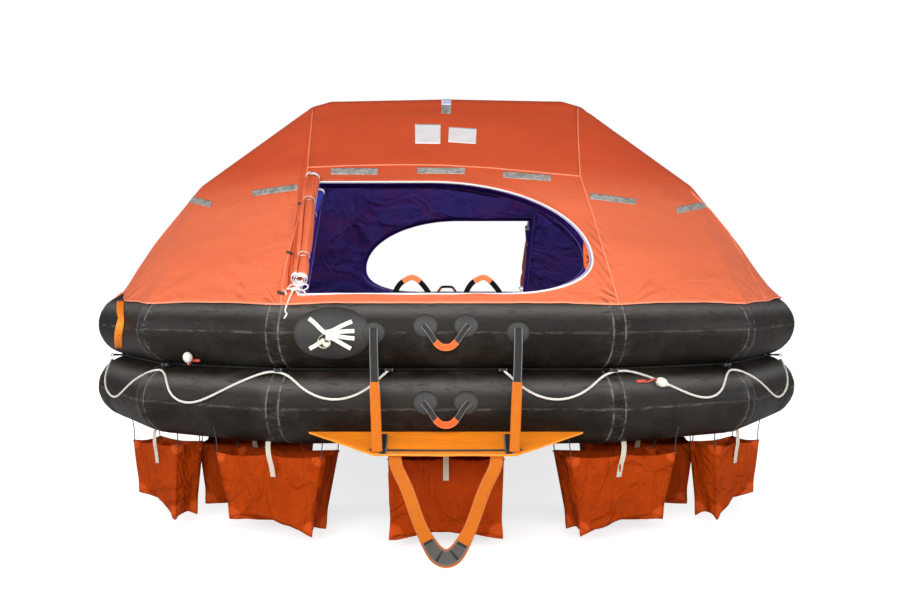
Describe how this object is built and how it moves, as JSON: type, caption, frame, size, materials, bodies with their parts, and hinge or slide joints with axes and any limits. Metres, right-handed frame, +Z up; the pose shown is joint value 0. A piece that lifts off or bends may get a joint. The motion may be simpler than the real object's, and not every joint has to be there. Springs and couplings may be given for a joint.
{
  "type": "inflatable life raft",
  "caption": "Canopied inflatable life raft: two stacked tubes in a twelve-sided ring, arch tubes, lined canopy, ballast pockets, ramps and lifelines.",
  "frame": {"origin": "middle of the ring at the waterline, 0.10 m above the lower tube's underside", "axes": "+Z up, -Y out of the front entrance, +X to the right as seen from the front"},
  "size_m": [4.3112, 5.8, 2.51],
  "materials": {
    "tube_rubber": "matte, scuffed",
    "canopy_fabric": "coated fabric",
    "liner_fabric": "coated fabric",
    "pocket_fabric": "thin coated fabric",
    "orange_webbing": "woven",
    "black_webbing": "woven",
    "white_rope": "braided",
    "white_plastic": "satin"
  },
  "bodies": {
    "root": {"arch_front": "tube_rubber", "arch_rear": "tube_rubber", "boarding_handle_rear": "black_webbing", "boarding_handles_front": "black_webbing", "canopy_front_left": "canopy_fabric", "canopy_front_right": "canopy_fabric", "canopy_front_wall": "canopy_fabric", "canopy_rear_left": "canopy_fabric", "canopy_rear_right": "canopy_fabric", "canopy_rear_wall": "canopy_fabric", "canopy_roof": "canopy_fabric", "canopy_side_left": "canopy_fabric", "canopy_side_right": "canopy_fabric", "door_roll_front": "canopy_fabric", "door_roll_rear": "canopy_fabric", "float_bulb_left": "white_plastic", "float_bulb_right": "white_plastic", "floor": "tube_rubber", "grab_handle_lower_front": "black_webbing", "grab_handle_lower_rear": "black_webbing", "grab_handle_upper_front": "black_webbing", "grab_handle_upper_rear": "black_webbing", "lifeline_left": "white_rope", "lifeline_right": "white_rope", "liner_front": "liner_fabric", "liner_rear": "liner_fabric", "liner_roll_front": "liner_fabric", "liner_roll_rear": "liner_fabric", "liner_roof": "liner_fabric", "lower_tube": "tube_rubber", "pocket_front_inner_left": "pocket_fabric", "pocket_front_inner_right": "pocket_fabric", "pocket_front_left": "pocket_fabric", "pocket_front_middle": "pocket_fabric", "pocket_front_quarter_left": "pocket_fabric", "pocket_front_quarter_right": "pocket_fabric", "pocket_front_right": "pocket_fabric", "pocket_rear_inner_left": "pocket_fabric", "pocket_rear_inner_right": "pocket_fabric", "pocket_rear_left": "pocket_fabric", "pocket_rear_middle": "pocket_fabric", "pocket_rear_quarter_left": "pocket_fabric", "pocket_rear_quarter_right": "pocket_fabric", "pocket_rear_right": "pocket_fabric", "ramp_front": "orange_webbing", "ramp_rear": "orange_webbing", "ramp_strap_front_left": "orange_webbing", "ramp_strap_front_right": "orange_webbing", "ramp_strap_rear_left": "orange_webbing", "ramp_strap_rear_right": "orange_webbing", "stirrup_front": "orange_webbing", "stirrup_rear": "orange_webbing", "tube_joint_band": "tube_rubber", "upper_tube": "tube_rubber"}
  },
  "joints": []
}
